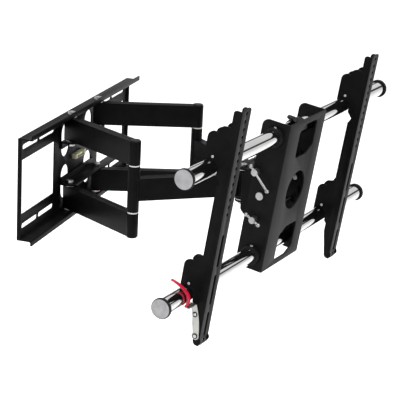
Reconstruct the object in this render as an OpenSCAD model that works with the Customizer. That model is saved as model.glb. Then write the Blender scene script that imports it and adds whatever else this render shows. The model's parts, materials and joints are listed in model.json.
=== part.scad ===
// Full motion wall mount for a flat screen.
// +X is to the right of a person facing the wall, +Y points into the wall, +Z is up.
// The origin is the middle of the wall plate's back face.

/* [Wall plate] */
// Width of the wall plate
plate_w = 600; // [520:1:720]
// Height between the outer faces of the two flanges
plate_h = 208; // [208:1:260]
// Thickness of the pressed steel sheet
sheet = 3; // [2:0.1:4]
// Height of the lip turned up or down at each flange's front edge
lip_h = 8; // [4:0.5:14]
// Depth of the small returns at both ends of the plate
return_d = 9; // [5:0.5:16]
// Solid strip left between a window and the plate's end
window_edge = 17; // [13:0.5:28]
// Width of the window on each side of the plate
window_w = 163; // [110:1:170]
// Height of the windows
window_h = 112; // [90:1:125]
// Steel left between the two lag bolt slots of a row
slot_gap = 4; // [3:0.5:12]
// Height of a lag bolt slot
slot_h = 11; // [7:0.5:13]
// Height of the lag bolt rows above and below the middle
slot_row = 81; // [72:1:85]
// Width of the tall openings in the middle web
web_slot_w = 42; // [24:1:46]
// Height of the tall openings in the middle web
web_slot_h = 72; // [50:1:76]

/* [Shoulders and shelves] */
// Distance of each shoulder pivot from the middle
pivot_x = 74; // [66:1:90]
// Distance of the shoulder pivots in front of the wall
pivot_y = 20; // [19:0.5:26]
// Room between a shoulder bolt's head and the lip of the flange
lip_room = 2; // [1:0.5:6]
// Thickness of the pivot shelves
shelf_t = 4; // [3:0.25:6]
// Radius of the shelf's rounded end around a pivot
shelf_r = 16; // [13:0.5:20]
// Diameter of the shoulder and elbow bolts
bolt_d = 10; // [8:0.5:12]

/* [Arms] */
// Length of an arm between its shoulder and elbow axes
arm_l = 216; // [200:1:250]
// Length of a forearm between its elbow and yoke axes
fore_l = 230; // [215:1:270]
// Width of the rectangular arm tubes
tube_w = 22; // [18:0.5:26]
// Height of the arm tubes
tube_h = 48; // [40:1:50]
// Height of the forearm tubes
fore_h = 46; // [36:1:60]
// Wall thickness of all the rectangular tubes
tube_wall = 2.5; // [1.5:0.25:3]
// Outer diameter of the vertical sleeve at an elbow
sleeve_d = 24; // [22:0.5:28]
// Outer diameter of the knuckle at the yoke end of a forearm
knuckle_d = 30; // [28:0.5:32]
// Height of that knuckle
knuckle_h = 60; // [50:1:70]

/* [Head position] */
// Distance of the head's middle to the right of the wall plate's middle
head_x = -36; // [-60:1:20]
// Distance of the head's round tubes in front of the wall
head_y = 464; // [440:1:480]
// Turn of the head about the vertical axis
head_turn = -10.6; // [-14:0.2:4]
// Forward tilt of the head
head_tilt = 8; // [0:0.5:12]

/* [Yoke] */
// Half of the spacing between the two yoke pivots
yoke_half = 32; // [32:0.5:38]
// Distance of the yoke pivots behind the head's round tubes
yoke_back = 72; // [70:1:84]
// Thickness of the yoke's steel
yoke_t = 4; // [3:0.25:5]

/* [Head box] */
// Width of the head box
box_w = 173; // [160:1:200]
// Height of the front plate of the head box
box_h = 314; // [300:1:340]
// Distance of the front plate before the round tubes' axes
box_front = 28.7; // [26:0.1:34]
// Distance of the side walls' back edge behind the round tubes' axes
box_back = 31; // [28:0.5:38]
// Thickness of the head box sheet
box_t = 3; // [2:0.1:4]
// Distance of the tilt axis behind the round tubes' axes
tilt_y = 5; // [0:0.5:8]

/* [Round tubes] */
// Diameter of the two round tubes
round_d = 32; // [28:0.5:35]
// Wall thickness of the round tubes
round_wall = 1.5; // [1:0.1:3]
// Length of the round tubes
round_l = 890; // [820:5:1000]
// Vertical spacing of the round tubes
round_span = 252; // [245:1:260]
// Diameter of the plastic end caps
cap_d = 40; // [38:0.5:46]
// Thickness of the end caps
cap_t = 8; // [5:0.5:12]

/* [Screen rails] */
// Length of a screen rail
rail_l = 467; // [455:1:500]
// Width of a screen rail's front strip
rail_w = 36; // [32:1:42]
// Distance of the rail's front face before the round tubes' axes
rail_front = 45; // [44:0.5:50]
// Sheet thickness of the rails
rail_t = 2.5; // [2:0.1:3]
// Height of the rail's top end above the middle of the head
rail_top = 249; // [240:1:252]
// Depth of the rail's plain side walls
rail_d = 24; // [18:0.5:26]
// Distance of the hook plates' back edge behind the round tubes' axes
hook_back = 14; // [11:0.5:16]
// Distance of the top small hole from the rail's top end
hole_lead = 9.5; // [7:0.5:12]
// Spacing of the small holes in the rail
hole_pitch = 15; // [12:0.5:15.5]
// Diameter of the small holes
hole_d = 7; // [5:0.5:8.5]
// Middle of the left rail, measured from the middle of the head
left_rail_x = -341; // [-400:1:-200]
// Middle of the right rail, measured from the middle of the head
right_rail_x = 261; // [200:1:400]

/* [Fits] */
// Gap between faces that slide past each other
gap = 0.3; // [0.2:0.05:0.5]
// Radial running clearance of a pin in its bore
run = 0.05; // [0.02:0.01:0.1]
// Radial room around the bolt of the free knuckle
free_room = 6.8; // [6.5:0.1:7]

/* [Hidden] */

$fn = 64;
black = "#17181a";
steel = "#c9ccd0";
nylon = "#e9e9e4";

// Heights of the parts stacked on one shoulder pivot, from the flange towards the middle.
washer_t = 2.7;
flange_in = plate_h / 2 - sheet;
arm_top = flange_in - washer_t - gap;
arm_bottom = arm_top - tube_h;
shelf_top = arm_bottom - gap - washer_t;

washer_d = 21;
head_d = bolt_d * 1.6;
head_t = bolt_d * 0.55;
arm_tail = bolt_d;
plate_d = pivot_y + head_d / 2 + lip_room + sheet;

// The two elbows follow from the pivots and the two link lengths.
left_shoulder = [-pivot_x, -pivot_y];
right_shoulder = [pivot_x, -pivot_y];
function in_head(p) = [head_x + p.x * cos(head_turn) - p.y * sin(head_turn),
                       -head_y + p.x * sin(head_turn) + p.y * cos(head_turn)];
left_pivot = in_head([-yoke_half, yoke_back]);
right_pivot = in_head([yoke_half, yoke_back]);

// Point at distance ra from a and rb from b, on the given side of the line from a to b.
function meeting(a, b, ra, rb, side) =
    let (d = norm(b - a),
         along = (ra * ra - rb * rb + d * d) / (2 * d),
         off = sqrt(ra * ra - along * along),
         u = (b - a) / d)
    a + u * along + [-u.y, u.x] * off * side;
left_elbow = meeting(left_shoulder, left_pivot, arm_l, fore_l, -1);
right_elbow = meeting(right_shoulder, right_pivot, arm_l, fore_l, 1);
function heading(a, b) = atan2(b.y - a.y, b.x - a.x);

// Heights at the elbow and the yoke.
elbow_washer_t = arm_bottom - sleeve_half() - gap;
function sleeve_half() = shelf_top - gap;
yoke_washer_t = 2;
yoke_in = knuckle_h / 2 + gap + yoke_washer_t;
yoke_bolt_d = 10;
free_bore = yoke_bolt_d + 2 * free_room;
elbow_bush_d = sleeve_d - 8;
yoke_web_y = yoke_back - knuckle_d / 2 - 11;
cheek_x = box_w / 2 - box_t - gap;
cheek_r = 20;
cheek_l = yoke_web_y - tilt_y + yoke_t / 2;

// The clamp bolts run in curved slots of the yoke's cheeks around the tilt axis.
clamp_d = 8;
clamp_r = 50;
clamp_up = 71;
clamp_down = -88;
// Least and most lean of the head from upright, a degree past the stops.
tilt_least = -6;
tilt_most = 16;
slot_w = clamp_d + 2;
slot_wall = 3;
slot_spare = 2;
cheek_rim = clamp_r + slot_w / 2 + slot_wall;
slot_end = asin((slot_w / 2 + slot_wall) / clamp_r);

module at(p, turn = 0) translate([p.x, p.y, 0]) rotate([0, 0, turn]) children();
module both_ends() for (s = [0, 1]) mirror([0, 0, s]) children();
module head_place() translate([head_x, -head_y, 0]) rotate([0, 0, head_turn]) children();
module tilt_place() head_place() translate([0, tilt_y, 0]) rotate([head_tilt, 0, 0])
    translate([0, -tilt_y, 0]) children();
module left_arm_place() at(left_shoulder, heading(left_shoulder, left_elbow)) children();
module right_arm_place() at(right_shoulder, heading(right_shoulder, right_elbow)) children();
module left_fore_place() at(left_elbow, heading(left_elbow, left_pivot)) children();
module right_fore_place() at(right_elbow, heading(right_elbow, right_pivot)) children();
// Lays a profile drawn in the Y-Z plane and gives it thickness t from x = 0 towards +X.
module side_sheet(t) rotate([90, 0, 90]) linear_extrude(t) children();
module obround(l, w) {
    square([l - w, w], center = true);
    for (s = [-1, 1]) translate([s * (l - w) / 2, 0]) circle(d = w);
}
module along_x(x0, x1) translate([x0, 0, 0]) rotate([0, 90, 0]) linear_extrude(x1 - x0) children();

// ---- wall bracket ----
window_x = plate_w / 2 - window_edge - window_w / 2;
slot_pitch = window_w / 2;
slot_l = slot_pitch - slot_gap;
web_slot_x = (plate_w / 2 - window_edge - window_w) / 2 + 3;
web_slot_z = web_slot_h / 2 + 9;

module plate_outline() {
    difference() {
        square([plate_w, plate_h], center = true);
        for (s = [-1, 1]) {
            translate([s * window_x, 0]) square([window_w, window_h], center = true);
            for (z = [-1, 1], k = [-0.5, 0.5])
                translate([s * (window_x + k * slot_pitch), z * slot_row]) obround(slot_l, slot_h);
            for (z = [-1, 1])
                translate([s * web_slot_x, z * web_slot_z])
                    rotate([0, 0, 90]) obround(web_slot_h, web_slot_w);
        }
    }
}
module wall_plate() color(black) difference() {
    union() {
        rotate([90, 0, 0]) linear_extrude(sheet) plate_outline();
        both_ends() translate([-plate_w / 2, -plate_d, plate_h / 2 - sheet])
            cube([plate_w, plate_d, sheet]);
        both_ends() translate([-plate_w / 2, -plate_d, plate_h / 2 - sheet])
            cube([plate_w, sheet, lip_h + sheet]);
        for (s = [0, 1]) mirror([s, 0, 0])
            translate([plate_w / 2 - sheet, -return_d, -plate_h / 2]) cube([sheet, return_d, plate_h]);
    }
    for (x = [-pivot_x, pivot_x]) translate([x, -pivot_y, 0])
        cylinder(d = bolt_d + 4 * run, h = plate_h + 1, center = true);
}
module pivot_shelf() color(black) difference() {
    union() {
        translate([0, 0, shelf_top - shelf_t]) linear_extrude(shelf_t) {
            translate([-pivot_x - shelf_r, -pivot_y]) square([2 * (pivot_x + shelf_r), pivot_y - sheet]);
            translate([-pivot_x, -pivot_y - shelf_r]) square([2 * pivot_x, shelf_r]);
            for (x = [-pivot_x, pivot_x]) translate([x, -pivot_y]) circle(r = shelf_r);
        }
        translate([-pivot_x - shelf_r, -sheet - shelf_t, shelf_top - 4 * shelf_t])
            cube([2 * (pivot_x + shelf_r), shelf_t, 4 * shelf_t]);
    }
    for (x = [-pivot_x, pivot_x]) translate([x, -pivot_y, 0])
        cylinder(d = bolt_d + 4 * run, h = plate_h);
}
module upper_pivot_shelf() pivot_shelf();
module lower_pivot_shelf() mirror([0, 0, 1]) pivot_shelf();
nut_t = 6;
module shoulder_bolts() color(steel) for (x = [-pivot_x, pivot_x]) both_ends()
    translate([x, -pivot_y, 0]) {
        translate([0, 0, plate_h / 2]) cylinder(d = head_d, h = head_t);
        translate([0, 0, shelf_top - shelf_t - nut_t])
            cylinder(d = bolt_d, h = plate_h / 2 - shelf_top + shelf_t + nut_t);
    }
module shoulder_nuts() color(steel) for (x = [-pivot_x, pivot_x]) both_ends()
    translate([x, -pivot_y, shelf_top - shelf_t - nut_t]) difference() {
        cylinder(d = head_d, h = nut_t, $fn = 6);
        translate([0, 0, -1]) cylinder(d = bolt_d, h = nut_t + 2);
    }
module shoulder_washers() color(nylon) for (x = [-pivot_x, pivot_x]) both_ends()
    for (z = [flange_in - washer_t, shelf_top]) translate([x, -pivot_y, z]) difference() {
        cylinder(d = washer_d, h = washer_t);
        translate([0, 0, -1]) cylinder(d = bolt_d + 4 * run, h = washer_t + 2);
    }

// ---- spirit level ----
level_l = 54;
level_d = 10.5;
vial_d = 7;
vial_l = 38;
level_y = -sheet - level_d / 2;
module level_housing() color("#caa93a") translate([0, level_y, 0]) difference() {
    translate([-level_l / 2, -level_d / 2, -level_d / 2]) cube([level_l, level_d, level_d]);
    translate([-vial_l / 2, -level_d, -vial_d / 2 - 1]) cube([vial_l, level_d, level_d]);
    along_x(-vial_l / 2, vial_l / 2) circle(d = vial_d + 0.6);
}
module level_vial() color("#d8e65a") translate([0, level_y, 0])
    along_x(-vial_l / 2, vial_l / 2) circle(d = vial_d);

// ---- arms: x runs from the shoulder to the elbow ----
module arm_outline(r) {
    translate([-arm_tail, -tube_w / 2]) square([arm_l + arm_tail, tube_w]);
    translate([arm_l, 0]) circle(r = r);
}
module arm_tube() color(black) translate([0, 0, arm_bottom]) difference() {
    linear_extrude(tube_h) arm_outline(sleeve_d / 2);
    translate([-arm_tail - 1, -tube_w / 2 + tube_wall, tube_wall])
        cube([arm_l + arm_tail - sleeve_d / 2 - tube_wall, tube_w - 2 * tube_wall,
              tube_h - 2 * tube_wall]);
    translate([0, 0, -1]) cylinder(d = bolt_d + 2 * run, h = tube_h + 2);
    translate([arm_l, 0, -1]) cylinder(d = bolt_d, h = tube_h + 2);
}
module elbow_bolt() color(steel) translate([arm_l, 0, 0])
    cylinder(d = bolt_d, h = 2 * arm_top, center = true);
module elbow_washers() color(nylon) both_ends() translate([arm_l, 0, sleeve_half() + gap])
    difference() {
        cylinder(d = washer_d, h = elbow_washer_t);
        translate([0, 0, -1]) cylinder(d = bolt_d, h = elbow_washer_t + 2);
    }
elbow_cap_t = 2.5;
module elbow_caps() color("#26282b") both_ends() translate([arm_l, 0, arm_top])
    cylinder(d1 = sleeve_d - 1, d2 = sleeve_d - 4, h = elbow_cap_t);

module left_upper_arm_tube() left_arm_place() arm_tube();
module left_lower_arm_tube() left_arm_place() mirror([0, 0, 1]) arm_tube();
module left_elbow_bolt() left_arm_place() elbow_bolt();
module left_elbow_washers() left_arm_place() elbow_washers();
module left_elbow_caps() left_arm_place() elbow_caps();
module right_upper_arm_tube() right_arm_place() arm_tube();
module right_lower_arm_tube() right_arm_place() mirror([0, 0, 1]) arm_tube();
module right_elbow_bolt() right_arm_place() elbow_bolt();
module right_elbow_washers() right_arm_place() elbow_washers();
module right_elbow_caps() right_arm_place() elbow_caps();

// ---- forearms: x runs from the elbow to the yoke ----
module elbow_sleeve() color(black) difference() {
    cylinder(d = sleeve_d, h = 2 * sleeve_half(), center = true);
    cylinder(d = elbow_bush_d, h = 2 * sleeve_half() + 2, center = true);
}
bush_l = 30;
module elbow_bushes() color(nylon) both_ends() translate([0, 0, sleeve_half() - bush_l])
    difference() {
        cylinder(d = elbow_bush_d, h = bush_l);
        translate([0, 0, -1]) cylinder(d = bolt_d + 2 * run, h = bush_l + 2);
    }
module forearm_tube() color(black) difference() {
    translate([0, -tube_w / 2, -fore_h / 2]) cube([fore_l, tube_w, fore_h]);
    translate([-1, -tube_w / 2 + tube_wall, -fore_h / 2 + tube_wall])
        cube([fore_l + 2, tube_w - 2 * tube_wall, fore_h - 2 * tube_wall]);
    cylinder(d = sleeve_d, h = fore_h + 1, center = true);
    translate([fore_l, 0, 0]) cylinder(d = knuckle_d, h = fore_h + 1, center = true);
}
module knuckle(bore) color(black) translate([fore_l, 0, 0]) difference() {
    cylinder(d = knuckle_d, h = knuckle_h, center = true);
    cylinder(d = bore, h = knuckle_h + 2, center = true);
}
knuckle_bush_d = knuckle_d - 10;
module knuckle_bush() color(nylon) translate([fore_l, 0, 0]) difference() {
    cylinder(d = knuckle_bush_d, h = knuckle_h, center = true);
    cylinder(d = yoke_bolt_d + 2 * run, h = knuckle_h + 2, center = true);
}
module left_forearm_tube() left_fore_place() forearm_tube();
module left_elbow_sleeve() left_fore_place() elbow_sleeve();
module left_elbow_bushes() left_fore_place() elbow_bushes();
module left_knuckle() left_fore_place() knuckle(knuckle_bush_d);
module left_knuckle_bush() left_fore_place() knuckle_bush();
module right_forearm_tube() right_fore_place() forearm_tube();
module right_elbow_sleeve() right_fore_place() elbow_sleeve();
module right_elbow_bushes() right_fore_place() elbow_bushes();
module right_knuckle() right_fore_place() knuckle(free_bore);

// ---- yoke: origin at the middle of the head, y towards the wall ----
module yoke_plate() linear_extrude(yoke_t) {
    for (x = [-yoke_half, yoke_half]) translate([x, yoke_back]) circle(r = 14);
    translate([-yoke_half, yoke_back]) square([2 * yoke_half, 14]);
    translate([-yoke_half - 14, yoke_web_y]) square([2 * yoke_half + 28, yoke_back - yoke_web_y]);
}
function ray(angle) = [cos(angle), sin(angle)];
module arc_slot(at_angle) {
    lo = at_angle + tilt_least - slot_spare;
    hi = at_angle + tilt_most + slot_spare;
    difference() {
        circle(r = clamp_r + slot_w / 2);
        circle(r = clamp_r - slot_w / 2);
        rotate([0, 0, lo]) translate([-200, -200]) square([400, 200]);
        rotate([0, 0, hi]) translate([-200, 0]) square([400, 200]);
    }
    for (a = [lo, hi]) rotate([0, 0, a]) translate([clamp_r, 0]) circle(d = slot_w - 0.4);
}
// Side view of a cheek, around the tilt axis, y towards the wall and z up.
module cheek_outline() difference() {
    union() {
        circle(r = cheek_r);
        translate([0, -cheek_r]) square([cheek_l, 2 * cheek_r]);
        difference() {
            circle(r = cheek_rim);
            translate([cheek_l, -cheek_rim]) square([cheek_rim, 2 * cheek_rim]);
            polygon([[0, 0], 200 * ray(clamp_up + tilt_most + slot_spare + slot_end), [-200, 200],
                     [-200, -200], 200 * ray(clamp_down + tilt_least - slot_spare - slot_end)]);
        }
    }
    circle(d = bolt_d + 2 * run);
    arc_slot(clamp_up);
    arc_slot(clamp_down);
}
module yoke_bracket() color(black) head_place() difference() {
    union() {
        both_ends() translate([0, 0, yoke_in]) yoke_plate();
        translate([-cheek_x, yoke_web_y, -yoke_in - yoke_t])
            cube([2 * cheek_x, yoke_t, 2 * (yoke_in + yoke_t)]);
        for (s = [0, 1]) mirror([s, 0, 0])
            translate([cheek_x - yoke_t, tilt_y, 0]) side_sheet(yoke_t) cheek_outline();
    }
    for (x = [-yoke_half, yoke_half]) translate([x, yoke_back, 0])
        cylinder(d = yoke_bolt_d, h = 4 * yoke_in, center = true);
}
module yoke_bolts() color(steel) head_place() for (x = [-yoke_half, yoke_half])
    translate([x, yoke_back, 0]) {
        cylinder(d = yoke_bolt_d, h = 2 * (yoke_in + yoke_t), center = true);
        both_ends() translate([0, 0, yoke_in + yoke_t]) cylinder(d = head_d, h = head_t, $fn = 6);
    }
module yoke_washers() color(nylon) head_place() for (x = [-yoke_half, yoke_half]) both_ends()
    translate([x, yoke_back, yoke_in - yoke_washer_t]) difference() {
        cylinder(d = 26, h = yoke_washer_t);
        translate([0, 0, -1]) cylinder(d = yoke_bolt_d, h = yoke_washer_t + 2);
    }

// ---- head box: in its own upright frame, tilted as a whole ----
tube_z = round_span / 2;
ear_r = 14;
box_cut = 26;
front_window_x = 8;
front_window_w = 78;
front_window_h = 68;
front_window_z = box_h / 2 - 46;
centre_hole = [3, 2];
centre_hole_d = 82;
module box_side() difference() {
    union() {
        translate([-box_front, -box_h / 2]) square([box_front + box_back - ear_r, box_h]);
        translate([-box_front, -box_h / 2 + box_cut])
            square([box_front + box_back, box_h - box_cut - ear_r]);
        translate([box_back - ear_r, box_h / 2 - ear_r]) circle(r = ear_r);
        translate([box_back - box_cut, -box_h / 2 + box_cut]) circle(r = box_cut);
    }
    for (z = [-tube_z, tube_z]) translate([0, z]) circle(d = round_d);
    translate([tilt_y, 0]) circle(d = bolt_d);
    for (a = [clamp_up, clamp_down]) translate([tilt_y, 0]) rotate([0, 0, a])
        translate([clamp_r, 0]) circle(d = clamp_d);
}
// A window with two small corners and, across from each other, two corners cut off at a slant.
corner_r = 8;
slant = [21, 10];
module front_window(w, h) hull() for (s = [-1, 1], corner = [[s, s], [-s, s]])
    for (cut = s == corner.x ? [[0, 0]] : [[slant.x, 0], [0, slant.y]])
        translate([corner.x * (w / 2 - corner_r - cut.x), corner.y * (h / 2 - corner_r - cut.y)])
            circle(r = corner_r, $fn = 32);
module box_front_plate() difference() {
    square([box_w, box_h], center = true);
    translate(centre_hole) circle(d = centre_hole_d);
    for (z = [-front_window_z, front_window_z]) translate([front_window_x, z])
        front_window(front_window_w, front_window_h);
}
module head_box() color("#232427") tilt_place() {
    translate([0, -box_front + box_t, 0]) rotate([90, 0, 0]) linear_extrude(box_t) box_front_plate();
    for (s = [0, 1]) mirror([s, 0, 0]) translate([box_w / 2 - box_t, 0, 0])
        side_sheet(box_t) box_side();
}
module round_tube() difference() {
    along_x(-round_l / 2, round_l / 2) circle(d = round_d);
    along_x(-round_l / 2 - 1, round_l / 2 + 1) circle(d = round_d - 2 * round_wall);
}
module upper_round_tube() color(steel) tilt_place() translate([0, 0, tube_z]) round_tube();
module lower_round_tube() color(steel) tilt_place() translate([0, 0, -tube_z]) round_tube();
module round_tube_caps() color("#8d9094") tilt_place() for (z = [-tube_z, tube_z], s = [0, 1])
    translate([0, 0, z]) mirror([s, 0, 0]) {
        along_x(round_l / 2, round_l / 2 + cap_t) circle(d = cap_d);
        along_x(round_l / 2 - 10, round_l / 2) circle(d = round_d - 2 * round_wall);
    }
collar_t = 11;
collar_d = 40;
screw_d = 6;
module tube_collars() color(black) tilt_place() for (z = [-tube_z, tube_z], s = [0, 1])
    translate([0, 0, z]) mirror([s, 0, 0]) difference() {
        along_x(box_w / 2, box_w / 2 + collar_t) circle(d = collar_d);
        along_x(box_w / 2 - 1, box_w / 2 + collar_t + 1) circle(d = round_d);
        collar_screw();
    }
module collar_screw() translate([box_w / 2 + collar_t / 2, 0, round_d / 2 + gap])
    cylinder(d = screw_d, h = collar_d / 2 - round_d / 2 + 2);
module collar_screws() color(steel) tilt_place() for (z = [-tube_z, tube_z], s = [0, 1])
    translate([0, 0, z]) mirror([s, 0, 0]) collar_screw();
// ---- cable clip: a saddle on the upper tube with a raised tongue to the left ----
clip_t = 2.5;
clip_w = 30;
clip_x = 26;
tongue = [26, 13];
tongue_w = 13;
module cable_clip() color("#26282b") tilt_place() translate([clip_x, 0, tube_z]) {
    along_x(-clip_w, 0) difference() {
        circle(d = round_d + 2 * clip_t);
        circle(d = round_d);
        translate([0, -round_d]) square([round_d, 2 * round_d]);
    }
    translate([-clip_w, tongue_w / 2, round_d / 2]) rotate([90, 0, 0]) linear_extrude(tongue_w)
        polygon([[6, 0.4], [6, clip_t], [-tongue.x + 8, tongue.y + clip_t], [-tongue.x, tongue.y],
                 [-tongue.x + 3, tongue.y - 4], [-6, 0.4]]);
}
module tilt_bolts() color(steel) tilt_place() for (s = [0, 1]) mirror([s, 0, 0])
    translate([0, tilt_y, 0]) {
        along_x(cheek_x - yoke_t - 4, box_w / 2) circle(d = bolt_d);
        along_x(box_w / 2, box_w / 2 + head_t) circle(d = head_d);
    }
// Places a clamp's own parts: origin on the bolt's axis at the left outer face of the box.
module clamp_place(angle) tilt_place() translate([-box_w / 2, tilt_y, 0]) rotate([angle, 0, 0])
    translate([0, clamp_r, 0]) rotate([-angle, 0, 0]) children();
clamp_nut_t = 7;
module tilt_clamp_bolts() color(steel) for (a = [clamp_up, clamp_down]) clamp_place(a) {
    along_x(-clamp_nut_t, box_w + clamp_nut_t + 4) circle(d = clamp_d);
    along_x(box_w, box_w + clamp_nut_t) difference() {
        circle(d = 15, $fn = 6);
        circle(d = clamp_d);
    }
}

// ---- clamp handles: a hub on the bolt with a sliding rod that ends in two balls ----
hub_d = 14;
hub_t = 15;
rod_d = 5;
ball_d = 9;
rod_x = -hub_t + 3.4;
upper_rod = [-14, 44];
lower_rod = [-17, 15];
module clamp_hub() color("#9a9c9e") difference() {
    along_x(-hub_t - gap, -gap) circle(d = hub_d);
    along_x(-clamp_nut_t - 1, 1) circle(d = clamp_d + 2 * run);
    translate([rod_x, 0, 0]) rotate([90, 0, 0]) cylinder(d = rod_d, h = hub_d + 2, center = true);
}
module clamp_rod(ends) color("#9a9c9e") translate([rod_x, 0, 0]) rotate([90, 0, 0]) {
    translate([0, 0, ends[0]]) cylinder(d = rod_d, h = ends[1] - ends[0]);
    for (z = ends) translate([0, 0, z]) sphere(d = ball_d);
}
upper_lever_turn = 42;
lower_lever_turn = 24;
module upper_handle_place() clamp_place(clamp_up) rotate([upper_lever_turn, 0, 0]) children();
module lower_handle_place() clamp_place(clamp_down) rotate([lower_lever_turn, 0, 0]) children();
module upper_clamp_hub() upper_handle_place() clamp_hub();
module upper_clamp_rod() upper_handle_place() clamp_rod(upper_rod);
module lower_clamp_hub() lower_handle_place() clamp_hub();
module lower_clamp_rod() lower_handle_place() clamp_rod(lower_rod);

// ---- screen rails: x = 0 at the middle of the rail ----
hook_r = round_d / 2 + gap;
rail_bottom = rail_top - rail_l;
// Each hook plate rises over its tube in two humps, a high one in front and a low one behind.
hump_r = 13.5;
low_hump = [hook_back - hump_r, 57];
high_hump = low_hump - [hump_r + 6, -14.5];
ring_r = hook_r + 5;
neck = 18;
module hook_outline() difference() {
    union() {
        for (p = [low_hump, high_hump]) {
            translate(p) circle(r = hump_r);
            translate([-rail_front, 0]) square([p.x + hump_r + rail_front, p.y]);
        }
        translate([-rail_front, 0]) square([high_hump.x + rail_front, high_hump.y + hump_r]);
        polygon([[-rail_front, 0], [-rail_front, -ring_r - 12], [-rail_front + rail_d, -ring_r - 12],
                 [-rail_front + neck, -ring_r], [1 - hook_r, -hook_r / 2], [1 - hook_r, 0]]);
    }
    circle(r = hook_r);
    translate([-hook_r, -60]) square([2 * hook_r, 60]);
}
wall_drop = 4;
top_r = 6;
foot_l = 60;
foot_w = 13;
foot_r = 8;
module rail_side() {
    translate([-rail_front, rail_bottom + foot_l])
        square([rail_d - 7, rail_top - wall_drop - top_r - rail_bottom - foot_l]);
    translate([-rail_front, rail_top - wall_drop - 2 * top_r]) square([rail_d - 7 - top_r, 2 * top_r]);
    translate([-rail_front + rail_d - 7 - top_r, rail_top - wall_drop - top_r]) circle(r = top_r);
    translate([-rail_front, rail_bottom + foot_l])
        square([rail_d, tube_z - ring_r - 10 - rail_bottom - foot_l]);
    polygon([[-rail_front, rail_bottom + foot_l], [-rail_front + rail_d, rail_bottom + foot_l],
             [-rail_front + foot_w, rail_bottom + foot_r], [-rail_front + foot_w - foot_r, rail_bottom],
             [-rail_front, rail_bottom]]);
    translate([-rail_front + foot_w - foot_r, rail_bottom + foot_r]) circle(r = foot_r);
    for (z = [-tube_z, tube_z]) translate([0, z]) hook_outline();
}
long_slot_w = 8;
face_r = 9;
slot_lead = 40;
slot_foot = 17;
bridge = 15;
slot_share = [0.37, 0.35, 0.28];
last_hole_z = rail_top - hole_lead - 13 * hole_pitch;
slots_l = last_hole_z - slot_lead - rail_bottom - slot_foot - 2 * bridge;
function slot_above(k) = k == 0 ? 0 : slot_above(k - 1) + slots_l * slot_share[k - 1] + bridge;
module rail_face() difference() {
    union() {
        translate([-rail_w / 2, rail_bottom + face_r]) square([rail_w, rail_l - 2 * face_r]);
        translate([-rail_w / 2 + face_r, rail_bottom]) square([rail_w - 2 * face_r, rail_l]);
        for (x = [-1, 1], z = [rail_bottom + face_r, rail_top - face_r])
            translate([x * (rail_w / 2 - face_r), z]) circle(r = face_r);
    }
    for (k = [0 : 13]) translate([0, rail_top - hole_lead - k * hole_pitch]) circle(d = hole_d);
    for (k = [0 : 2]) let (l = slots_l * slot_share[k])
        translate([0, last_hole_z - slot_lead - slot_above(k) - l / 2])
            rotate([0, 0, 90]) obround(l, long_slot_w);
    translate([0, rail_bottom + 9]) circle(d = hole_d);
}
module rail() color(black) {
    translate([0, -rail_front + rail_t, 0]) rotate([90, 0, 0]) linear_extrude(rail_t) rail_face();
    for (s = [0, 1]) mirror([s, 0, 0]) translate([rail_w / 2 - rail_t, 0, 0])
        side_sheet(rail_t) rail_side();
}
liner_t = 3.5;
module hook_liners() color("#101112") for (z = [-tube_z, tube_z]) translate([0, 0, z])
    translate([-rail_w / 2 + rail_t, 0, 0]) side_sheet(rail_w - 2 * rail_t) difference() {
        circle(r = hook_r + liner_t);
        circle(r = hook_r);
        translate([-hook_r - liner_t - 1, -60]) square([2 * (hook_r + liner_t + 1), 60]);
        translate([hook_back - 1, -1]) square([20, 60]);
    }

// ---- lock lever on the rail's outer side, drawn for the left rail ----
lever_t = 2;
lever_w = 13;
lever_r = 150;
lever_centre = [136 - round_d / 2, -tube_z - 80];
lever_pivot = [lever_centre.x - lever_r - lever_w / 2 + 0.5, -tube_z - 73];
lever_x = -rail_w / 2 - gap - lever_t;
lever_pin_d = 5;
module lever_rivets() color(steel) translate([0, lever_pivot.x, lever_pivot.y]) {
    along_x(lever_x, -rail_w / 2) circle(d = lever_pin_d);
    along_x(lever_x - 1.6, lever_x) circle(d = 7);
}
// Curved strip from the pivot up to a tab bent outwards below the tube.
lever_l = 62;
tab = [25.7, 10];
tab_z = lever_pivot.y + lever_l;
tab_front = -10 - round_d / 2;
module lever_outline() difference() {
    union() {
        translate(lever_pivot) circle(r = lever_w / 2 + 1);
        intersection() {
            translate(lever_centre) difference() {
                circle(r = lever_r + lever_w, $fn = 180);
                circle(r = lever_r, $fn = 180);
            }
            translate([-60, lever_pivot.y]) square([60, lever_l]);
        }
    }
    translate(lever_pivot) circle(d = lever_pin_d + 2 * run);
}
module lock_lever() color("#b4b4b0") {
    translate([lever_x, 0, 0]) side_sheet(lever_t) lever_outline();
    translate([lever_x - tab.x, tab_front, tab_z - lever_t]) cube([tab.x + lever_t, tab.y, lever_t]);
}
// The red finger stands on the tab, follows the tube's front and leaves it on a wider arc.
finger_w = 8;
finger_t = 5;
finger_tip = 1.6;
finger_r = round_d / 2 + 1.8 + finger_t / 2;
sweep_r = 73;
finger_starts = 225;
finger_leaves = 125;
finger_bends = 29;
finger_arc = [for (k = [0 : 8]) [finger_r, finger_starts - k * (finger_starts - finger_leaves) / 8]];
sweep_arc = [for (k = [1 : 8]) [sweep_r, finger_leaves - k * finger_bends / 8]];
sweep_centre = (finger_r - sweep_r) * ray(finger_leaves);
function finger_half(k) = (finger_t + (finger_tip - finger_t) * k / 16) / 2;
function finger_edge(side) = concat(
    [for (k = [0 : 8]) (finger_arc[k][0] + side * finger_half(k)) * ray(finger_arc[k][1])],
    [for (k = [0 : 7]) sweep_centre
        + (sweep_arc[k][0] + side * finger_half(k + 9)) * ray(sweep_arc[k][1])]);
function backwards(v) = [for (k = [len(v) - 1 : -1 : 0]) v[k]];
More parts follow.
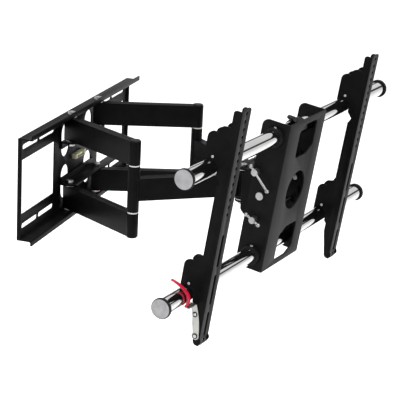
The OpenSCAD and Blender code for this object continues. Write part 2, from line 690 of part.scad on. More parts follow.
module release_hook() color("#c4161c") translate([lever_x - tab.x, 0, 0]) side_sheet(finger_w)
    difference() {
        translate([0, -tube_z]) polygon(concat(finger_edge(1), backwards(finger_edge(-1))));
        translate([-60, tab_z - 60]) square([80, 60]);
    }

module left_rail_place() tilt_place() translate([left_rail_x, 0, 0]) children();
module right_rail_place() tilt_place() translate([right_rail_x, 0, 0]) mirror([1, 0, 0]) children();
module left_rail() left_rail_place() rail();
module left_hook_liners() left_rail_place() hook_liners();
module left_lever_rivets() left_rail_place() lever_rivets();
module left_lock_lever() left_rail_place() lock_lever();
module left_release_hook() left_rail_place() release_hook();
module right_rail() right_rail_place() rail();
module right_hook_liners() right_rail_place() hook_liners();
module right_lever_rivets() right_rail_place() lever_rivets();
module right_lock_lever() right_rail_place() lock_lever();
module right_release_hook() right_rail_place() release_hook();

wall_plate();
upper_pivot_shelf();
lower_pivot_shelf();
shoulder_bolts();
shoulder_nuts();
shoulder_washers();
level_housing();
level_vial();
left_upper_arm_tube();
left_lower_arm_tube();
left_elbow_bolt();
left_elbow_washers();
left_elbow_caps();
right_upper_arm_tube();
right_lower_arm_tube();
right_elbow_bolt();
right_elbow_washers();
right_elbow_caps();
left_forearm_tube();
left_elbow_sleeve();
left_elbow_bushes();
left_knuckle();
left_knuckle_bush();
right_forearm_tube();
right_elbow_sleeve();
right_elbow_bushes();
right_knuckle();
yoke_bracket();
yoke_bolts();
yoke_washers();
head_box();
upper_round_tube();
lower_round_tube();
round_tube_caps();
tube_collars();
collar_screws();
cable_clip();
tilt_bolts();
tilt_clamp_bolts();
upper_clamp_hub();
upper_clamp_rod();
lower_clamp_hub();
lower_clamp_rod();
left_rail();
left_hook_liners();
left_lever_rivets();
left_lock_lever();
left_release_hook();
right_rail();
right_hook_liners();
right_lever_rivets();
right_lock_lever();
right_release_hook();
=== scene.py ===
"""Looks of the full motion wall mount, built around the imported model.

Each sub-assembly is a class with its sizes as fields. It copies its pressed and welded steel parts with
rounded edges, builds its turned and moulded parts, and dresses all of them in their finishes.
"""

import sys

import json
import logging
import math
from dataclasses import dataclass
from enum import Enum
from typing import Iterable, Sequence

import bmesh
import bpy
from mathutils import Matrix, Vector

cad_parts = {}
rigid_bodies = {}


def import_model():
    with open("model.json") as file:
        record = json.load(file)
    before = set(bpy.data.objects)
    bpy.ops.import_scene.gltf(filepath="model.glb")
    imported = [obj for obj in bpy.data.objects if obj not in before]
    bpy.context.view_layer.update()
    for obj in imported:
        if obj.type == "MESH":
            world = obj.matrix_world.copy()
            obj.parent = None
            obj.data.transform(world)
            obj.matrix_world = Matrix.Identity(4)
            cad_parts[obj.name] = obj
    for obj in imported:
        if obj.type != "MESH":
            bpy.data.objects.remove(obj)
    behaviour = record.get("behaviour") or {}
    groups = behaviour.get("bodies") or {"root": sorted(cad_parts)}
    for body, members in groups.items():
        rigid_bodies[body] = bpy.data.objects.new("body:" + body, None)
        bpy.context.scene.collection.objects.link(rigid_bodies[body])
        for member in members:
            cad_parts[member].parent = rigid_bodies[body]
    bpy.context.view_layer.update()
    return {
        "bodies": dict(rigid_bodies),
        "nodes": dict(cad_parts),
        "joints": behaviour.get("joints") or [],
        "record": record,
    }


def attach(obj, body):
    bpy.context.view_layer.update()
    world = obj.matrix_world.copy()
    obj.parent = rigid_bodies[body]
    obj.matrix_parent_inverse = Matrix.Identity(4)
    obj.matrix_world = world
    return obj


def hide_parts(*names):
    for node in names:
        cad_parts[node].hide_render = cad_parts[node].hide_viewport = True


LOG = logging.getLogger("wall_mount")
MM = 0.001


class Shape(Enum):
    """The named shapes of turned and headed small parts."""

    DOME = "dome"
    RIVET = "rivet"
    WASHER = "washer"


# ---------------------------------------------------------------------------------------------- finishes


class NodeSheet:
    """A short way to lay out a material's nodes."""

    def __init__(self, name: str) -> None:
        """Make an empty material with a shader and an output.

        Args:
            name: The material's name.
        """
        self.material = bpy.data.materials.new(name)
        self.material.use_nodes = True
        self.tree = self.material.node_tree
        self.tree.nodes.clear()
        self.shader = self.tree.nodes.new("ShaderNodeBsdfPrincipled")
        output = self.tree.nodes.new("ShaderNodeOutputMaterial")
        self.tree.links.new(self.shader.outputs["BSDF"], output.inputs["Surface"])
        self.place = self.tree.nodes.new("ShaderNodeTexCoord").outputs["Object"]

    def add(self, kind: str, **values: float) -> bpy.types.Node:
        """Add a node and set its inputs by name.

        Args:
            kind: The node's type name after ShaderNode.
            values: Input values; underscores stand for spaces.

        Returns:
            The new node.
        """
        node = self.tree.nodes.new("ShaderNode" + kind)
        for key, value in values.items():
            node.inputs[key.replace("_", " ")].default_value = value
        return node

    def link(self, source: bpy.types.NodeSocket, target: bpy.types.NodeSocket) -> None:
        """Join two sockets."""
        self.tree.links.new(source, target)

    def noise(self, scale: float, detail: float = 3.0,
              stretch: Sequence[float] = (1, 1, 1)) -> bpy.types.NodeSocket:
        """Return a noise value that follows the object's own place.

        Args:
            scale: Cells per metre.
            detail: Octaves.
            stretch: Scale along each axis before the noise.

        Returns:
            The noise value's socket.
        """
        mapping = self.add("Mapping")
        mapping.inputs["Scale"].default_value = stretch
        self.link(self.place, mapping.inputs["Vector"])
        node = self.add("TexNoise", Scale=scale, Detail=detail)
        self.link(mapping.outputs["Vector"], node.inputs["Vector"])
        return node.outputs["Fac"]

    def spread(self, source: bpy.types.NodeSocket, low: float, high: float,
               cut: Sequence[float] = (0.3, 0.7)) -> bpy.types.NodeSocket:
        """Map a noise value to a range.

        Args:
            source: The value to map.
            low: Result at the lower cut.
            high: Result at the upper cut.
            cut: The two input values that give low and high.

        Returns:
            The mapped value's socket.
        """
        node = self.add("MapRange")
        for socket, value in zip(node.inputs[1:5], (cut[0], cut[1], low, high)):
            socket.default_value = value
        self.link(source, node.inputs["Value"])
        return node.outputs["Result"]

    def tint(self, amount: bpy.types.NodeSocket, low: Sequence[float],
             high: Sequence[float]) -> bpy.types.NodeSocket:
        """Blend two colours by a value.

        Args:
            amount: Zero gives low, one gives high.
            low: First colour.
            high: Second colour.

        Returns:
            The colour's socket.
        """
        node = self.tree.nodes.new("ShaderNodeMix")
        node.data_type = "RGBA"
        node.inputs["A"].default_value = (*low, 1)
        node.inputs["B"].default_value = (*high, 1)
        self.link(amount, node.inputs["Factor"])
        return node.outputs["Result"]

    def mottle(self, pattern: bpy.types.NodeSocket, dark: Sequence[float], light: Sequence[float]) -> None:
        """Colour the surface between two shades, as a pattern says.

        Args:
            pattern: The value that chooses between the shades.
            dark: The darker shade.
            light: The lighter shade.
        """
        self.link(self.tint(self.spread(pattern, 0, 1), dark, light), self.shader.inputs["Base Color"])

    def bump(self, height: bpy.types.NodeSocket, strength: float, distance: float) -> None:
        """Give the shader a bumpy skin.

        Args:
            height: The height's socket.
            strength: Bump strength from zero to one.
            distance: Height of the bumps in metres.
        """
        node = self.add("Bump", Strength=strength, Distance=distance)
        self.link(height, node.inputs["Height"])
        self.link(node.outputs["Normal"], self.shader.inputs["Normal"])


@dataclass(frozen=True)
class PowderCoat:
    """Black powder coat: a fine orange-peel skin over steel, a little uneven in gloss."""

    name: str
    slot: str
    dark: tuple[float, float, float] = (0.0010, 0.0010, 0.0011)
    light: tuple[float, float, float] = (0.0026, 0.0026, 0.0028)
    rough: tuple[float, float] = (0.34, 0.48)
    peel: float = 0.22
    gloss: float = 0.06

    def make(self) -> bpy.types.Material:
        """Build the material."""
        sheet = NodeSheet(self.name)
        cloud = sheet.noise(35.0, 4.0)
        grain = sheet.noise(2600.0, 2.0)
        sheet.mottle(cloud, self.dark, self.light)
        sheet.link(sheet.spread(grain, *self.rough), sheet.shader.inputs["Roughness"])
        sheet.shader.inputs["Specular IOR Level"].default_value = self.gloss
        sheet.bump(grain, self.peel, 0.00012)
        return sheet.material


@dataclass(frozen=True)
class Plating:
    """Bright metal plating with faint polishing marks along one axis."""

    name: str
    slot: str
    dark: tuple[float, float, float]
    light: tuple[float, float, float]
    rough: tuple[float, float]
    grain: tuple[float, float, float] = (1.0, 1.0, 1.0)
    grain_scale: float = 900.0
    marks: float = 0.05

    def make(self) -> bpy.types.Material:
        """Build the material."""
        sheet = NodeSheet(self.name)
        cloud = sheet.noise(24.0, 3.0)
        lines = sheet.noise(self.grain_scale, 2.0, self.grain)
        sheet.shader.inputs["Metallic"].default_value = 1.0
        sheet.mottle(cloud, self.dark, self.light)
        sheet.link(sheet.spread(lines, *self.rough), sheet.shader.inputs["Roughness"])
        sheet.bump(lines, self.marks, 0.00005)
        return sheet.material


@dataclass(frozen=True)
class Moulding:
    """Moulded plastic with a faint spark-eroded skin."""

    name: str
    slot: str
    dark: tuple[float, float, float]
    light: tuple[float, float, float]
    rough: tuple[float, float] = (0.35, 0.5)
    skin: float = 0.12
    subsurface: float = 0.0
    gloss: float = 0.5

    def make(self) -> bpy.types.Material:
        """Build the material."""
        sheet = NodeSheet(self.name)
        cloud = sheet.noise(60.0, 3.0)
        skin = sheet.noise(3200.0, 2.0)
        sheet.mottle(cloud, self.dark, self.light)
        sheet.link(sheet.spread(skin, *self.rough), sheet.shader.inputs["Roughness"])
        sheet.shader.inputs["Specular IOR Level"].default_value = self.gloss
        sheet.shader.inputs["Subsurface Weight"].default_value = self.subsurface
        sheet.shader.inputs["Subsurface Scale"].default_value = 0.002
        sheet.bump(skin, self.skin, 0.00006)
        return sheet.material


@dataclass(frozen=True)
class LevelLiquid:
    """The clear yellow-green tube of the spirit level."""

    name: str
    slot: str
    colour: tuple[float, float, float] = (0.34, 0.36, 0.16)

    def make(self) -> bpy.types.Material:
        """Build the material."""
        sheet = NodeSheet(self.name)
        swirl = sheet.noise(120.0, 2.0)
        deep = tuple(0.8 * c for c in self.colour)
        sheet.mottle(swirl, deep, self.colour)
        sheet.shader.inputs["Roughness"].default_value = 0.06
        sheet.shader.inputs["Coat Weight"].default_value = 0.8
        return sheet.material


PLATE_COAT = PowderCoat("plate_black", "plate_black")
ARM_COAT = PowderCoat("arm_black", "arm_black", rough=(0.36, 0.5))
YOKE_COAT = PowderCoat("yoke_black", "yoke_black")
HEAD_COAT = PowderCoat("head_black", "head_black", (0.0035, 0.0034, 0.0036), (0.006, 0.0058, 0.006),
                       (0.40, 0.52), 0.3)
RAIL_COAT = PowderCoat("rail_black", "rail_black", (0.0012, 0.0012, 0.0013), (0.0030, 0.0030, 0.0032),
                       (0.36, 0.48))
CHROME = Plating("tube_chrome", "tube_chrome", (0.52, 0.52, 0.515), (0.60, 0.60, 0.595), (0.05, 0.09),
                 (0.15, 1.0, 1.0), 700.0, 0.03)
ZINC = Plating("zinc_steel", "zinc_steel", (0.34, 0.34, 0.35), (0.44, 0.44, 0.45), (0.24, 0.36))
HANDLE_ZINC = Plating("handle_zinc", "handle_steel", (0.24, 0.24, 0.24), (0.34, 0.34, 0.34), (0.30, 0.42))
LEVER_ZINC = Plating("lever_grey", "lever_grey", (0.30, 0.30, 0.28), (0.38, 0.38, 0.36), (0.34, 0.46),
                     (1.0, 0.2, 0.2), 800.0, 0.08)
CAP_GREY = Moulding("cap_grey", "cap_grey", (0.22, 0.218, 0.225), (0.30, 0.298, 0.305), (0.45, 0.6), 0.3,
                    gloss=0.2)
BLACK_PLASTIC = Moulding("black_plastic", "black_plastic", (0.003, 0.003, 0.0033), (0.006, 0.006, 0.0064),
                         gloss=0.12)
NYLON = Moulding("white_nylon", "white_nylon", (0.66, 0.66, 0.63), (0.76, 0.76, 0.73), (0.35, 0.45), 0.1, 0.1)
RELEASE_RED = Moulding("release_red", "release_red", (0.34, 0.004, 0.022), (0.42, 0.006, 0.030), (0.28, 0.38),
                       gloss=0.35)
LEVEL_BODY = Moulding("level_body", "level_body", (0.20, 0.19, 0.13), (0.28, 0.27, 0.19), (0.2, 0.3), 0.05)
LEVEL_LIQUID = LevelLiquid("level_glass", "level_glass")


Finish = PowderCoat | Plating | Moulding | LevelLiquid


class Finishes:
    """Makes each finish's material once and hands it out."""

    def __init__(self) -> None:
        """Start with nothing made."""
        self._made: dict[str, bpy.types.Material] = {}

    def material(self, finish: Finish) -> bpy.types.Material:
        """Return the finish's material, made on first use."""
        if finish.name not in self._made:
            self._made[finish.name] = finish.make()
        return self._made[finish.name]


# --------------------------------------------------------------------------------------------- mesh work


def new_object(name: str, mesh: bpy.types.Mesh) -> bpy.types.Object:
    """Link a mesh into the scene as an object at the origin.

    Args:
        name: The object's name.
        mesh: Its mesh.

    Returns:
        The object.
    """
    piece = bpy.data.objects.new(name, mesh)
    bpy.context.scene.collection.objects.link(piece)
    return piece


def smooth(mesh: bpy.types.Mesh, angle: float = 32.0) -> None:
    """Shade a mesh smooth, and keep edges sharper than an angle in degrees crisp."""
    mesh.shade_smooth()
    mesh.set_sharp_from_angle(angle=math.radians(angle))


def mesh_from(build: bmesh.types.BMesh, name: str, place: Matrix = Matrix.Identity(4)) -> bpy.types.Mesh:
    """Turn a built bmesh into a shaded mesh with outward faces.

    Args:
        build: The bmesh, which is freed.
        name: The mesh's name.
        place: Where it goes.

    Returns:
        The mesh.
    """
    bmesh.ops.remove_doubles(build, verts=build.verts, dist=1e-6)
    bmesh.ops.transform(build, matrix=place, verts=build.verts)
    bmesh.ops.recalc_face_normals(build, faces=build.faces)
    mesh = bpy.data.meshes.new(name)
    build.to_mesh(mesh)
    build.free()
    smooth(mesh)
    return mesh


def lathe(profile: Sequence[tuple[float, float]], steps: int = 48) -> bmesh.types.BMesh:
    """Turn a profile about the Z axis.

    Args:
        profile: Radius and height of each point, from one end of the axis to the other.
        steps: Divisions round the axis.

    Returns:
        A closed bmesh.
    """
    build = bmesh.new()
    rings = []
    for radius, height in profile:
        if radius < 1e-7:
            rings.append([build.verts.new((0, 0, height))])
            continue
        rings.append([
            build.verts.new((radius * math.cos(a), radius * math.sin(a), height))
            for a in (2 * math.pi * k / steps for k in range(steps))
        ])
    for low, high in zip(rings, rings[1:]):
        for k in range(steps):
            n = (k + 1) % steps
            if len(low) == 1 and len(high) > 1:
                build.faces.new((low[0], high[n], high[k]))
            elif len(high) == 1 and len(low) > 1:
                build.faces.new((low[k], low[n], high[0]))
            elif len(low) > 1:
                build.faces.new((low[k], low[n], high[n], high[k]))
    return build


def axis_matrix(at: Vector, along: Vector) -> Matrix:
    """Return a placement whose Z runs along a direction.

    Args:
        at: The origin.
        along: The direction of Z.

    Returns:
        The placement.
    """
    return Matrix.Translation(at) @ along.to_track_quat("Z", "Y").to_matrix().to_4x4()


@dataclass(frozen=True)
class Softening:
    """How a copied steel part's edges are rounded."""

    bend: float = 0.0
    edge: float = 0.4 * MM
    least_length: float = 60 * MM
    least_width: float = 6 * MM

    def _is_bend(self, edge: bmesh.types.BMEdge) -> bool:
        """Tell whether an edge is the outside or inside of a long fold between two wide faces."""
        if len(edge.link_faces) != 2 or edge.calc_length() < self.least_length:
            return False
        if edge.calc_face_angle(0) < math.radians(60):
            return False
        return all(f.calc_area() / edge.calc_length() > self.least_width for f in edge.link_faces)

    def apply(self, build: bmesh.types.BMesh) -> None:
        """Round the folds widely and every other edge slightly."""
        bmesh.ops.remove_doubles(build, verts=build.verts, dist=1e-6)
        bmesh.ops.dissolve_limit(build, angle_limit=math.radians(0.6), verts=build.verts, edges=build.edges)
        if self.bend:
            folds = [e for e in build.edges if self._is_bend(e)]
            bmesh.ops.bevel(build, geom=folds, offset=self.bend, segments=4, profile=0.5, affect="EDGES",
                            clamp_overlap=True, loop_slide=True)
        if self.edge:
            corner = math.radians(38)
            rims = [e for e in build.edges if len(e.link_faces) == 2 and e.calc_face_angle(0) > corner]
            bmesh.ops.bevel(build, geom=rims, offset=self.edge, segments=2, profile=0.6, affect="EDGES",
                            clamp_overlap=True, loop_slide=True)


# ---------------------------------------------------------------------------------------- geometry nodes


class GrownMesh:
    """A Geometry Nodes tree with named inputs, run once and kept as a plain mesh."""

    def __init__(self, name: str, inputs: Sequence[tuple[str, str]]) -> None:
        """Make an empty tree.

        Args:
            name: The tree's name.
            inputs: Name and socket type of each input after the geometry.
        """
        self.tree = bpy.data.node_groups.new(name, "GeometryNodeTree")
        face = self.tree.interface
        face.new_socket("Geometry", in_out="INPUT", socket_type="NodeSocketGeometry")
        self.sockets = {n: face.new_socket(n, in_out="INPUT", socket_type=t).identifier for n, t in inputs}
        face.new_socket("Geometry", in_out="OUTPUT", socket_type="NodeSocketGeometry")
        self.entry = self.tree.nodes.new("NodeGroupInput").outputs
        self.exit = self.tree.nodes.new("NodeGroupOutput").inputs

    def add(self, kind: str, **values: object) -> bpy.types.Node:
        """Add a geometry node and set its inputs by name."""
        node = self.tree.nodes.new(kind)
        for key, value in values.items():
            node.inputs[key.replace("_", " ")].default_value = value
        return node

    def link(self, source: bpy.types.NodeSocket, target: bpy.types.NodeSocket) -> None:
        """Join two sockets."""
        self.tree.links.new(source, target)

    def close(self, geometry: bpy.types.NodeSocket) -> None:
        """End the tree: make the copies real, set the finish, and hand the result out."""
        real = self.add("GeometryNodeRealizeInstances")
        dress = self.add("GeometryNodeSetMaterial")
        self.link(geometry, real.inputs["Geometry"])
        self.link(real.outputs["Geometry"], dress.inputs["Geometry"])
        self.link(self.entry["Finish"], dress.inputs["Material"])
        self.link(dress.outputs["Geometry"], self.exit["Geometry"])

    def run(self, name: str, seed_mesh: bpy.types.Mesh, values: dict[str, object]) -> bpy.types.Object:
        """Run the tree on a mesh and keep the result as a new object.

        Args:
            name: The new object's name.
            seed_mesh: The geometry that goes in.
            values: A value for each named input.

        Returns:
            The finished object, with no modifier on it.
        """
        carrier = new_object(name + "_seed", seed_mesh)
        modifier = carrier.modifiers.new("grow", "NODES")
        modifier.node_group = self.tree
        for key, value in values.items():
            modifier[self.sockets[key]] = value
        carrier.update_tag()
        bpy.context.view_layer.update()
        mesh = bpy.data.meshes.new_from_object(carrier.evaluated_get(bpy.context.evaluated_depsgraph_get()))
        carrier.modifiers.clear()
        bpy.data.objects.remove(carrier)
        mesh.name = name
        smooth(mesh)
        return new_object(name, mesh)


def placed_copies_tree() -> GrownMesh:
    """Build the tree that puts one small part on every point, turned as the point says.

    Returns:
        The tree, with inputs Item, Size and Finish.
    """
    grown = GrownMesh("placed_copies", [("Item", "NodeSocketObject"), ("Size", "NodeSocketFloat"),
                                        ("Finish", "NodeSocketMaterial")])
    info = grown.add("GeometryNodeObjectInfo")
    turn = grown.add("GeometryNodeInputNamedAttribute")
    turn.data_type = "FLOAT_VECTOR"
    turn.inputs["Name"].default_value = "turn"
    rotation = grown.add("FunctionNodeEulerToRotation")
    copies = grown.add("GeometryNodeInstanceOnPoints")
    grown.link(grown.entry["Item"], info.inputs["Object"])
    grown.link(turn.outputs["Attribute"], rotation.inputs["Euler"])
    grown.link(grown.entry["Geometry"], copies.inputs["Points"])
    grown.link(info.outputs["Geometry"], copies.inputs["Instance"])
    grown.link(rotation.outputs["Rotation"], copies.inputs["Rotation"])
    grown.link(grown.entry["Size"], copies.inputs["Scale"])
    grown.close(copies.outputs["Instances"])
    return grown


def ribbed_rim_tree() -> GrownMesh:
    """Build the tree that sets ribs round a disc's rim.

    Returns:
        The tree, with inputs Radius, Count, Rib, Length and Finish.
    """
    grown = GrownMesh("ribbed_rim", [("Radius", "NodeSocketFloat"), ("Count", "NodeSocketInt"),
                                     ("Rib", "NodeSocketFloat"), ("Length", "NodeSocketFloat"),
                                     ("Finish", "NodeSocketMaterial")])
    circle = grown.add("GeometryNodeCurvePrimitiveCircle")
    grown.link(grown.entry["Radius"], circle.inputs["Radius"])
    points = grown.add("GeometryNodeCurveToPoints")
    grown.link(circle.outputs["Curve"], points.inputs["Curve"])
    grown.link(grown.entry["Count"], points.inputs["Count"])
    rib = grown.add("GeometryNodeMeshCylinder", Vertices=10)
    grown.link(grown.entry["Rib"], rib.inputs["Radius"])
    grown.link(grown.entry["Length"], rib.inputs["Depth"])
    copies = grown.add("GeometryNodeInstanceOnPoints")
    grown.link(points.outputs["Points"], copies.inputs["Points"])
    grown.link(rib.outputs["Mesh"], copies.inputs["Instance"])
    joined = grown.add("GeometryNodeJoinGeometry")
    grown.link(copies.outputs["Instances"], joined.inputs["Geometry"])
    grown.link(grown.entry["Geometry"], joined.inputs["Geometry"])
    grown.close(joined.outputs["Geometry"])
    return grown


def weld_bead_tree() -> GrownMesh:
    """Build the tree that lays overlapping weld ripples along a curve.

    Returns:
        The tree, with inputs Step, Size and Finish.
    """
    grown = GrownMesh("weld_bead", [("Step", "NodeSocketFloat"), ("Size", "NodeSocketFloat"),
                                    ("Finish", "NodeSocketMaterial")])
    curve = grown.add("GeometryNodeMeshToCurve")
    grown.link(grown.entry["Geometry"], curve.inputs["Mesh"])
    points = grown.add("GeometryNodeCurveToPoints")
    points.mode = "LENGTH"
    grown.link(curve.outputs["Curve"], points.inputs["Curve"])
    grown.link(grown.entry["Step"], points.inputs["Length"])
    ball = grown.add("GeometryNodeMeshIcoSphere", Subdivisions=2)
    grown.link(grown.entry["Size"], ball.inputs["Radius"])
    copies = grown.add("GeometryNodeInstanceOnPoints")
    grown.link(points.outputs["Points"], copies.inputs["Points"])
    grown.link(ball.outputs["Mesh"], copies.inputs["Instance"])
    grown.close(copies.outputs["Instances"])
    return grown


# ------------------------------------------------------------------------------------------ the workshop


class Workshop:
    """Holds the frame, the finishes and the trees, and makes and dresses pieces."""

    def __init__(self, frame: dict) -> None:
        """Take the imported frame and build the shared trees.
        """
        self.frame = frame
        self.finishes = Finishes()
        self.copies = placed_copies_tree()
        self.rim = ribbed_rim_tree()
        self.bead = weld_bead_tree()

    def middle(self, node: str) -> Vector:
        """Return the middle of a CAD node's box."""
        piece = self.frame["nodes"][node]
        corners = [piece.matrix_world @ Vector(corner) for corner in piece.bound_box]
        return sum(corners, Vector()) / 8

    def report(self, piece: bpy.types.Object, body: str) -> None:
        """Log one finished piece."""
        LOG.info("%s: %d faces on %s", piece.name, len(piece.data.polygons), body)

    def dress(self, piece: bpy.types.Object, body: str, finish: Finish, *nodes: str) -> bpy.types.Object:
        """Give a piece its finish, its body and the nodes it stands for.

        Args:
            piece: The piece.
            body: The body that it rides on.
            finish: Its finish.
            nodes: The CAD nodes that it replaces.

        Returns:
            The piece.
        """
        piece.data.materials.clear()
        piece.data.materials.append(self.finishes.material(finish))
        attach(piece, body)
        if nodes:
            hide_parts(*nodes)
        self.report(piece, body)
        return piece

    def recoat(self, node: str, finish: Finish) -> None:
        """Give a CAD node that stays as it is a finish."""
        mesh = self.frame["nodes"][node].data
        mesh.materials.clear()
        mesh.materials.append(self.finishes.material(finish))
        LOG.info("%s: recoated", node)

    def softened(self, node: str, body: str, finish: Finish, how: Softening) -> bpy.types.Object:
        """Copy a CAD node with rounded edges.

        Args:
            node: The CAD node.
            body: The body that it rides on.
            finish: Its finish.
            how: How its edges are rounded.

        Returns:
            The new piece, which stands for the node.
        """
        build = bmesh.new()
        build.from_mesh(self.frame["nodes"][node].data)
        how.apply(build)
        mesh = bpy.data.meshes.new(node + "_made")
        build.to_mesh(mesh)
        build.free()
        smooth(mesh, 28.0)
        return self.dress(new_object(node + "_made", mesh), body, finish, node)

    def scatter(self, name: str, item: bmesh.types.BMesh, places: Iterable[Matrix], body: str,
                finish: Finish, *nodes: str) -> bpy.types.Object:
        """Put a small part at each place with the placed-copies tree.

        Args:
            name: The piece's name.
            item: The small part, standing on z = 0.
            places: A placement for each copy.
            body: The body that they ride on.
            finish: Their finish.
            nodes: The CAD nodes that they replace.

        Returns:
            The piece.
        """
        spots = list(places)
        seed = bpy.data.meshes.new(name + "_points")
        seed.from_pydata([p.to_translation() for p in spots], [], [])
        turn = seed.attributes.new("turn", "FLOAT_VECTOR", "POINT")
        for k, p in enumerate(spots):
            turn.data[k].vector = p.to_euler()
        part = new_object(name + "_item", mesh_from(item, name + "_item"))
        piece = self.copies.run(name, seed, {
            "Item": part, "Size": 1.0, "Finish": self.finishes.material(finish)})
        bpy.data.objects.remove(part)
        return self.dress(piece, body, finish, *nodes)


def small_part(shape: Shape, size: float, height: float) -> bmesh.types.BMesh:
    """Make a named small part that stands on z = 0.

    Args:
        shape: Which part.
        size: Its diameter.
        height: Its height.

    Returns:
        The part as a bmesh.
    """
    r = size / 2
    if shape is Shape.WASHER:
        hole = 0.52 * r
        return lathe([(hole, 0), (0.97 * r, 0), (r, 0.12 * height), (r, 0.88 * height), (0.97 * r, height),
                      (hole, height), (hole, 0)])
    if shape is Shape.RIVET:
        return lathe([(0, 0), (r, 0), (r, 0.3 * height), (0.86 * r, 0.75 * height), (0.5 * r, height),
                      (0.34 * r, 0.92 * height), (0.3 * r, 0.6 * height), (0, 0.5 * height)])
    socket = 0.46 * r
    return lathe([(0, 0), (0.98 * r, 0), (r, 0.1 * height), (r, 0.42 * height), (0.92 * r, 0.68 * height),
                  (0.72 * r, 0.9 * height), (socket + 0.06 * r, height), (socket, 0.96 * height),
                  (socket, 0.45 * height), (0, 0.4 * height)])


# ------------------------------------------------------------------------------------------- local frames


@dataclass(frozen=True)
class MountSizes:
    """The driving sizes, in metres and degrees, with the same names as the solid model's."""

    plate_h: float = 208 * MM
    pivot_x: float = 74 * MM
    pivot_y: float = 20 * MM
    head_x: float = -36 * MM
    head_y: float = 464 * MM
    head_turn: float = -10.6
    head_tilt: float = 8.0
    tilt_y: float = 5 * MM
    box_w: float = 173 * MM
    round_d: float = 32 * MM
    round_l: float = 890 * MM
    round_span: float = 252 * MM
    cap_d: float = 40 * MM
    cap_t: float = 8 * MM
    tube_w: float = 22 * MM
    fore_h: float = 46 * MM
    sleeve_d: float = 24 * MM
    knuckle_d: float = 30 * MM
    rail_w: float = 36 * MM
    left_rail_x: float = -341 * MM
    right_rail_x: float = 261 * MM

    def head(self) -> Matrix:
        """Return the head's upright frame."""
        return Matrix.Translation((self.head_x, -self.head_y, 0)) @ Matrix.Rotation(
            math.radians(self.head_turn), 4, "Z")

    def tilted(self) -> Matrix:
        """Return the frame of everything that tilts."""
        hinge = Matrix.Translation((0, self.tilt_y, 0))
        return self.head() @ hinge @ Matrix.Rotation(math.radians(self.head_tilt), 4, "X") @ hinge.inverted()

    def rail(self, side: int) -> Matrix:
        """Return a rail's frame: side is -1 for the left rail and 1 for the mirrored right one."""
        x = self.left_rail_x if side < 0 else self.right_rail_x
        return self.tilted() @ Matrix.Translation((x, 0, 0)) @ Matrix.Diagonal((-side, 1, 1, 1))


SIZES = MountSizes()


# ------------------------------------------------------------------------------------------- the studio


